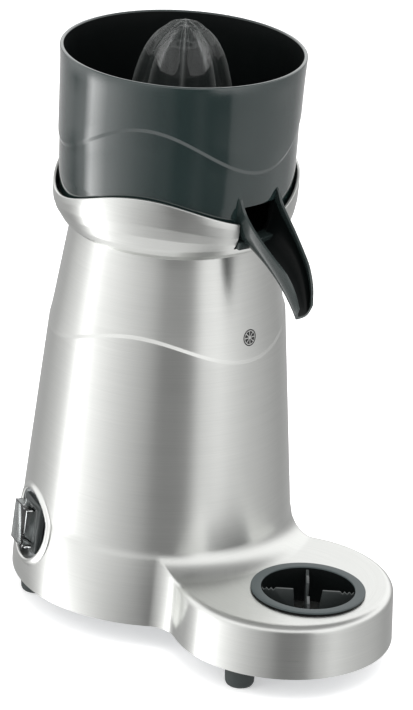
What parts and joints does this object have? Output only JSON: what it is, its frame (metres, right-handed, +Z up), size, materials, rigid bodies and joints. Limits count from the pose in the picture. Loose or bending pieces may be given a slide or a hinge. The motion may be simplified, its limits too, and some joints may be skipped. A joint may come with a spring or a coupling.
{
  "type": "electric citrus press",
  "caption": "Countertop electric citrus press: metal motor column on a two-lobed foot, juice bowl with beak spout, ribbed reamer, strainer and drip cup under the spout.",
  "frame": {"origin": "centre of the overall outline on the surface that the feet stand on", "axes": "+Z up along the motor column, -Y towards the spout and glass platform, +X to the right of a person who faces the spout"},
  "size_m": [0.182, 0.2856, 0.38],
  "materials": {
    "brushed_shell": "brushed round the column, satin",
    "bowl_plastic": "gloss dark grey-green",
    "black_plastic": "satin black",
    "smoky_plastic": "clear smoky",
    "clear_plastic": "clear",
    "ivory_plastic": "matt",
    "rubber": "matt",
    "zinc_plate": "zinc plated",
    "bright_steel": "ground",
    "laminations": "varnished stack",
    "windings": "enamelled copper wire",
    "cast_alloy": "as cast",
    "brass_stud": "plain"
  },
  "bodies": {
    "housing": {"housing_shell": "brushed_shell", "base_plate": "zinc_plate", "foot_1": "rubber", "foot_2": "rubber", "foot_3": "rubber", "foot_4": "rubber", "foot_screw_1": "bright_steel", "foot_screw_2": "bright_steel", "foot_screw_3": "bright_steel", "foot_screw_4": "bright_steel", "stator_core": "laminations", "upper_winding": "windings", "lower_winding": "windings", "upper_end_shield": "cast_alloy", "lower_end_shield": "cast_alloy", "upper_bearing": "bright_steel", "lower_bearing": "bright_steel", "motor_spacer_1": "zinc_plate", "motor_spacer_2": "zinc_plate", "motor_spacer_3": "zinc_plate", "motor_spacer_4": "zinc_plate", "motor_bolt_1": "bright_steel", "motor_bolt_2": "bright_steel", "motor_bolt_3": "bright_steel", "motor_bolt_4": "bright_steel", "shaft_seal": "rubber", "switch_plate": "zinc_plate", "switch_bezel": "black_plastic", "splash_cover": "clear_plastic", "cable_gland": "black_plastic", "gland_nut": "black_plastic", "run_capacitor": "cast_alloy", "capacitor_clip": "zinc_plate", "terminal_block": "ivory_plastic", "earth_stud": "brass_stud"},
    "spindle": {"spindle": "bright_steel", "rotor_core": "laminations", "cooling_fan": "black_plastic"},
    "bowl": {"juice_bowl": "bowl_plastic"},
    "strainer": {"strainer": "black_plastic"},
    "reamer": {"reamer": "smoky_plastic"},
    "drip_cup": {"drip_cup": "bowl_plastic"},
    "drip_grid": {"drip_grid": "black_plastic"},
    "rocker": {"rocker": "black_plastic"}
  },
  "joints": [
    {"name": "spindle_spin", "type": "hinge", "parent": "housing", "child": "spindle", "pos_m": [0, 0.04098, 0.2], "axis": [0, 0, 1], "continuous": true},
    {"name": "bowl_lift", "type": "slide", "parent": "housing", "child": "bowl", "axis": [0, 0, 1], "range_m": [0, 0.1]},
    {"name": "strainer_lift", "type": "slide", "parent": "bowl", "child": "strainer", "axis": [0, 0, 1], "range_m": [0, 0.05]},
    {"name": "reamer_lift", "type": "slide", "parent": "spindle", "child": "reamer", "axis": [0, 0, 1], "range_m": [0, 0.2]},
    {"name": "cup_lift", "type": "slide", "parent": "housing", "child": "drip_cup", "axis": [0, 0, 1], "range_m": [0, 0.06]},
    {"name": "grid_lift", "type": "slide", "parent": "drip_cup", "child": "drip_grid", "axis": [0, 0, 1], "range_m": [0, 0.04]},
    {"name": "rocker_tilt", "type": "hinge", "parent": "housing", "child": "rocker", "pos_m": [-0.07455, 0.07111, 0.05489], "axis": [-0.3746, -0.9272, 0], "range_deg": [0, 20]}
  ],
  "couplings": [
    {"joint": "strainer_lift", "follows": "bowl_lift", "ratio": 0.5},
    {"joint": "reamer_lift", "follows": "bowl_lift", "ratio": 2}
  ]
}
